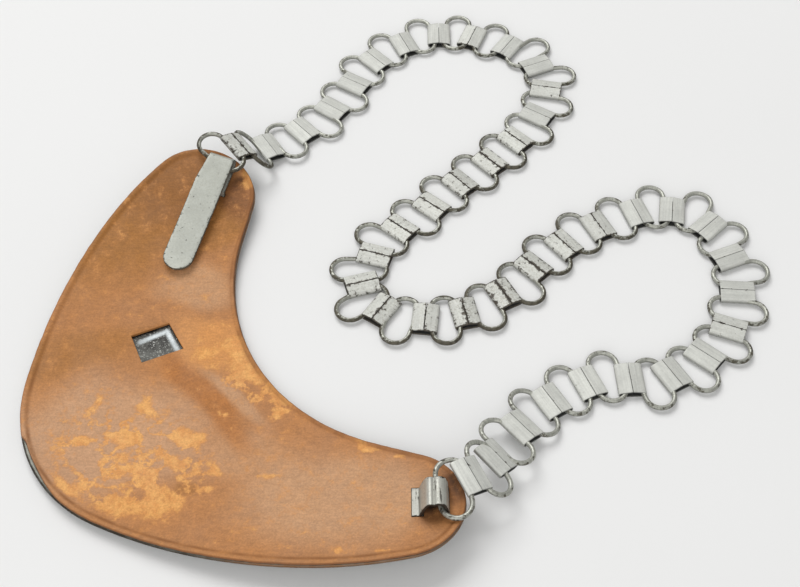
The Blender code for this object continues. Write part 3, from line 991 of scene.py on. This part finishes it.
def hook_path():
    """The hook from its foot through the leather, round the fold and along the tongue."""
    low = GAP + STRIP / 2.0
    high = low + 2.0 * HOOK_FOLD
    fold = HOOK_FOLD + STRIP / 2.0
    path = [(HOOK_FOOT, -LEATHER), (HOOK_FOOT, low - 0.9), (HOOK_FOOT - 0.25, low - 0.25)]
    path += [(HOOK_FOOT - 0.9, low), (HOOK_FOOT - 4.0, low), (HOOK_FOOT - 8.0, low)]
    for step in range(17):
        angle = math.radians(270.0 - 180.0 * step / 16)
        height = low + HOOK_FOLD * (1.0 + math.sin(angle))
        path.append((fold + HOOK_FOLD * math.cos(angle), height))
    half = STRIP_WIDTH / 2.0
    widths = [(half - HOOK_CORNER, half)] * len(path)
    round_from = HOOK_LENGTH - half
    for step in range(1, 21):
        share = step / 20
        distance = fold + share * (round_from - fold)
        path.append((distance, high + share * (TONGUE_TIP - high)))
        widths.append((half - HOOK_CORNER * max(0.0, 1.0 - share / 0.25), half))
    for step in range(1, 15):
        angle = math.radians(88.0 * step / 14)
        path.append((round_from + half * math.sin(angle), TONGUE_TIP))
        widths.append((half * math.cos(angle), half * math.cos(angle)))
    return path, widths


def smooth_path(path, parts):
    """A path with its corners eased by a spline through its points."""
    points = [Vector(point) for point in path]
    made_path = []
    for i in range(len(points) - 1):
        before = points[max(0, i - 1)]
        after = points[min(len(points) - 1, i + 2)]
        start = points[i]
        end = points[i + 1]
        for part in range(parts):
            t = part / parts
            curve = 2.0 * start + (end - before) * t
            curve += (2.0 * before - 5.0 * start + 4.0 * end - after) * t * t
            curve += (3.0 * start - before - 3.0 * end + after) * t ** 3
            made_path.append(tuple(0.5 * curve))
    return made_path + [tuple(points[-1])]


def build_hook(material):
    """The hook the chain's first ring hangs in."""
    path, widths = hook_path()
    strip = strip_mesh(HOOK_AT, HOOK_TURN, path, widths, 1.0)
    worn = [0.25] * len(strip.corners)
    return painted("hook_strip", strip, material, "hook_tongue", worn)


def build_staple(material):
    """The staple that holds the chain's last ring."""
    path = smooth_path(STAPLE_PATH, 4)
    widths = [(STRIP_WIDTH / 2.0, STRIP_WIDTH / 2.0)] * len(path)
    # The staple's underside, inside its arch, gets painted shade.
    strip = strip_mesh(STAPLE_AT, STAPLE_TURN, path, widths, 0.25)
    # The foot down in the slit is painted darker, as shade.
    for i, place in enumerate(strip.places):
        if place[0] < 0.0:
            strip.tints[i] *= 0.75
    worn = [0.3] * len(strip.corners)
    return painted("staple_strip", strip, material, "ring_loop", worn)


def posed(link):
    """A link's axes: x along the chain, y to its left and z up, sloped and then leaned."""
    turn = Matrix.Rotation(math.radians(link.heading), 3, "Z")
    turn = turn @ Matrix.Rotation(math.radians(-link.slope), 3, "Y")
    turn = turn @ Matrix.Rotation(math.radians(link.lean), 3, "X")
    return Matrix.Translation((link.x, link.y, link.z)) @ turn.to_4x4()


def ring_poses(clips):
    """Axes of the rings from those of the clips; in a bend they slide to its outer side."""
    poses = []
    for ring in range(RINGS):
        if ring in END_RINGS:
            poses.append(posed(END_RINGS[ring]))
            continue
        start = clips[ring - 1] @ Vector((CLIP_BAR, 0.0, 0.0))
        end = clips[ring] @ Vector((-CLIP_BAR, 0.0, 0.0))
        bend = (CLIPS[ring].heading - CLIPS[ring - 1].heading + 180.0) % 360.0 - 180.0
        heading = CLIPS[ring - 1].heading + bend / 2.0
        middle = (start + end) / 2.0
        along = end - start
        slope = math.degrees(math.atan2(along.z, along.to_2d().length))
        pose = posed(Link(middle.x, middle.y, heading, middle.z, slope))
        poses.append(pose @ Matrix.Translation((0.0, -SLIDE_PER_DEGREE * bend, 0.0)))
    return poses


def ring_mesh(pose, seed):
    """One wire ring that lies across the chain, with painted shade on its underside."""
    up = Vector((0.0, 0.0, 1.0))
    path = []
    for end in (1.0, -1.0):
        for step in range(BOW_STEPS + 1):
            angle = math.radians(-90.0 + 180.0 * step / BOW_STEPS)
            across = RING_STRAIGHT / 2.0 + RING_BOW * math.cos(angle)
            path.append(Vector((-end * RING_BOW * math.sin(angle), end * across, 0.0)))
    corners = []
    rubbed = []
    places = []
    tints = []
    count = len(path)
    for i, point in enumerate(path):
        before = (point - path[i - 1]).normalized()
        after = (path[(i + 1) % count] - point).normalized()
        outward = (before + after).normalized().cross(up)
        for side in range(WIRE_SIDES):
            angle = math.radians(360.0 * side / WIRE_SIDES)
            offset = math.cos(angle) * outward + math.sin(angle) * up
            corners.append(pose @ (point + WIRE_DRAWN * WIRE / 2.0 * offset))
            places.append(Vector((RING_STEP * i, SIDE_STEP * side, PIECE_STEP * seed)))
            rubbed.append(max(0.0, math.cos(angle - math.radians(35.0))))
            # Painted shade on the wire's underside.
            tints.append(0.74 + 0.26 * min(1.0, max(-1.0, 2.0 * math.sin(angle))))
    faces = tube_faces(count, WIRE_SIDES, closed=True)
    return Small(corners, faces, rubbed, places, tints)


# Half of a clip's folded sheet, from the seam on top round the bar to the underside:
# along the chain, height over the clip's middle, and how much paint is rubbed off there.
Bend = namedtuple("Bend", "along height rubbed")
CLIP_HALF = (
    Bend(0.12, 1.25, 1.0),
    Bend(0.26, 1.25, 0.4),
    Bend(0.62, 1.2, 0.2),
    Bend(1.15, 1.11, 0.0),
    Bend(3.65, 0.66, 0.0),
    Bend(3.9, 0.6, 0.1),
    Bend(4.15, 0.5, 0.2),
    Bend(4.34, 0.33, 0.25),
    Bend(4.43, 0.08, 0.2),
    Bend(4.42, -0.2, 0.1),
    Bend(4.32, -0.52, 0.1),
    Bend(4.12, -0.87, 0.2),
    Bend(3.78, -1.13, 0.2),
    Bend(3.3, -1.25, 0.0),
    Bend(1.5, -1.25, 0.0),
)
CLIP_BENDS = (
    *(bend._replace(along=-bend.along) for bend in CLIP_HALF),
    Bend(0.0, -1.25, 0.0),
    *reversed(CLIP_HALF),
)

# Rows across half a clip: place in half widths, how far the sheet's edge is rounded, how rubbed.
ClipRow = namedtuple("ClipRow", "across rounded rubbed")
HALF_ROWS = (
    ClipRow(0.45, 0.0, 0.0),
    ClipRow(0.9, 0.0, 0.0),
    ClipRow(0.955, 0.0, 0.3),
    ClipRow(0.98, 0.03, 0.7),
    ClipRow(1.0, 0.12, 0.9),
)
CLIP_ROWS = (
    *(row._replace(across=-row.across) for row in reversed(HALF_ROWS)),
    ClipRow(0.0, 0.0, 0.0),
    *HALF_ROWS,
)


def clip_mesh(pose, seed):
    """One clip: a folded sheet open at both its ends, its two edges meeting on top."""
    draw = random.Random(seed)
    lift = draw.uniform(-0.09, 0.03)
    # Each half gets a random tone; the listed clip's half towards the staple gets a painted
    # highlight.
    halves = [draw.uniform(0.95, 1.03), LIT_HALF.get(seed + 1, draw.uniform(0.95, 1.03))]
    corners = []
    rubbed = []
    places = []
    tints = []
    count = len(CLIP_BENDS)
    sides = thickened([(bend.along, bend.height) for bend in CLIP_BENDS], CLIP_SHEET)
    for row in CLIP_ROWS:
        for bend, (outer, inner) in zip(CLIP_BENDS, sides):
            through = row.rounded * (inner - outer).normalized()
            for level, point in enumerate((outer + through, inner - through)):
                spot = Vector((point.x, row.across * CLIP_WIDTH / 2.0, point.y))
                if bend.height > 0.0:
                    spot.z += 0.04 * noise.noise(Vector((*(0.3 * spot.xy), seed * 3.7))) - 0.03
                    if abs(bend.along) < 0.7:
                        spot.x += 0.07 * noise.noise(Vector((seed * 5.3, spot.y * 0.4, 0.0)))
                    if bend.along > 0.0:
                        spot.z += lift * (1.0 - bend.along / 4.5)
                corners.append(pose @ spot)
                places.append(spot + Vector((0.0, 0.0, PIECE_STEP * seed)))
                rubbed.append(max(bend.rubbed, row.rubbed))
                # Painted shade inside the sheet, on its cut edges and on its low sides.
                tone = halves[bend.along > 0.0] * (CLIP_INSIDE_SHADE if level == 1 else 1.0)
                at_edge = bend.height < 0.1 or abs(row.across) > 0.99
                tints.append(tone * (CLIP_EDGE_SHADE if at_edge else 1.0))
    faces = []
    row_size = 2 * count
    for row in range(len(CLIP_ROWS) - 1):
        for i in range(count - 1):
            for side in (0, 1):
                a = row * row_size + 2 * i + side
                faces.append((a, a + 2, a + 2 + row_size, a + row_size))
        for i in (0, count - 1):
            a = row * row_size + 2 * i
            faces.append((a, a + 1, a + 1 + row_size, a + row_size))
    for row in (0, len(CLIP_ROWS) - 1):
        for i in range(count - 1):
            a = row * row_size + 2 * i
            faces.append((a, a + 1, a + 3, a + 2))
    return Small(corners, faces, rubbed, places, tints)


def joined(name, pieces, material, levels):
    """Many small meshes as one piece of the chain; levels gives each its wear and a tone."""
    whole = Small([], [], [], [], [])
    worn = []
    for piece, (wear, tone) in zip(pieces, levels):
        first = len(whole.corners)
        whole.faces.extend(tuple(i + first for i in face) for face in piece.faces)
        whole.corners.extend(piece.corners)
        whole.rubbed.extend(piece.rubbed)
        whole.places.extend(piece.places)
        whole.tints.extend(tone * own for own in piece.tints)
        worn += [wear] * len(piece.corners)
    return painted(name, whole, material, "chain", worn)


def clip_wear(clip):
    """How far the paint has gone from a clip."""
    return CLIP_WEAR.get(clip, WEAR_ELSEWHERE)


def build_chain(clip_paint, wire_paint):
    """The neck chain's rings and clips."""
    draw = random.Random(11)
    poses = [posed(link) for link in CLIPS]
    clips = [clip_mesh(pose, seed) for seed, pose in enumerate(poses)]
    clip_levels = []
    for clip in range(1, RINGS):
        worn = clip_wear(clip)
        clip_levels.append((worn, draw.uniform(0.9, 1.0) + 0.06 * (worn > 0.1)))
    joined("chain_clips", clips, clip_paint, clip_levels)
    rings = [ring_mesh(pose, seed) for seed, pose in enumerate(ring_poses(poses))]
    ring_levels = []
    for ring in range(RINGS):
        worn = max(clip_wear(ring), clip_wear(ring + 1))
        ring_levels.append((0.1 + 0.5 * worn, draw.uniform(0.9, 1.02)))
    joined("chain_rings", rings, wire_paint, ring_levels)


def build_floor():
    """A plain pale floor."""
    look = Look("pale_floor", 0.9, 0.0)
    colour = brightened(look, shade(236, 236, 235), look.grain(6.0, 3.0), 0.995, 1.005)
    material = look.finish(colour)
    mesh = bpy.data.meshes.new("floor")
    reach = 1.6
    signs = ((-1, -1), (1, -1), (1, 1), (-1, 1))
    mesh.from_pydata([(a * reach, b * reach, 0.0) for a, b in signs], [], [(0, 1, 2, 3)])
    mesh.materials.append(material)
    floor = bpy.data.objects.new("floor", mesh)
    bpy.context.scene.collection.objects.link(floor)


def area_light(name, at, size, power):
    """A soft square light that faces the object: place and size in metres, power in watts."""
    lamp = bpy.data.lights.new(name, "AREA")
    lamp.energy = power
    lamp.size = size
    item = bpy.data.objects.new(name, lamp)
    item.location = at
    item.rotation_euler = Vector(at).to_track_quat("Z", "Y").to_euler()
    bpy.context.scene.collection.objects.link(item)


def build_stage():
    """Floor, lights and the camera at the photograph's angle."""
    build_floor()
    world = bpy.data.worlds.new("studio")
    world.use_nodes = True
    sky = world.node_tree.nodes["Background"]
    sky.inputs["Color"].default_value = (1.0, 1.0, 1.0, 1.0)
    sky.inputs["Strength"].default_value = 0.36
    bpy.context.scene.world = world
    bpy.context.scene.view_settings.view_transform = "Standard"
    area_light("key", (-0.55, 1.25, 1.8), size=1.4, power=31.0)
    area_light("fill", (-0.3, -1.5, 1.2), size=2.0, power=18.0)
    lens = bpy.data.cameras.new("camera")
    lens.sensor_width = CAMERA_SENSOR
    lens.lens = CAMERA_LENS
    lens.clip_start = 0.01
    camera = bpy.data.objects.new("camera", lens)
    camera.location = (Vector(CAMERA_AT) - Vector(CENTRE)) * MM
    camera.rotation_euler = (math.radians(CAMERA_TILT), 0.0, 0.0)
    bpy.context.scene.collection.objects.link(camera)
    bpy.context.scene.camera = camera


build_plate(steel_look())
build_leather(leather_look())
build_hook(paint_look("hook_paint", (172, 174, 165), (92, 92, 84), chips=0.1))
build_staple(
    paint_look(
        "staple_paint", (190, 190, 181), (60, 55, 48),
        chips=0.14, brushed=0.08, gloss=0.46, metal=0.45, cracks=0.9,
    )
)
build_chain(
    paint_look(
        "chain_clip_paint", (207, 208, 201), (70, 64, 54),
        chips=0.05, brushed=0.1, gloss=0.58, metal=0.12,
    ),
    paint_look(
        "chain_wire_paint", (178, 179, 169), (84, 80, 68),
        chips=0.06, brushed=0.2, gloss=0.38, metal=0.5,
    ),
)
build_stage()
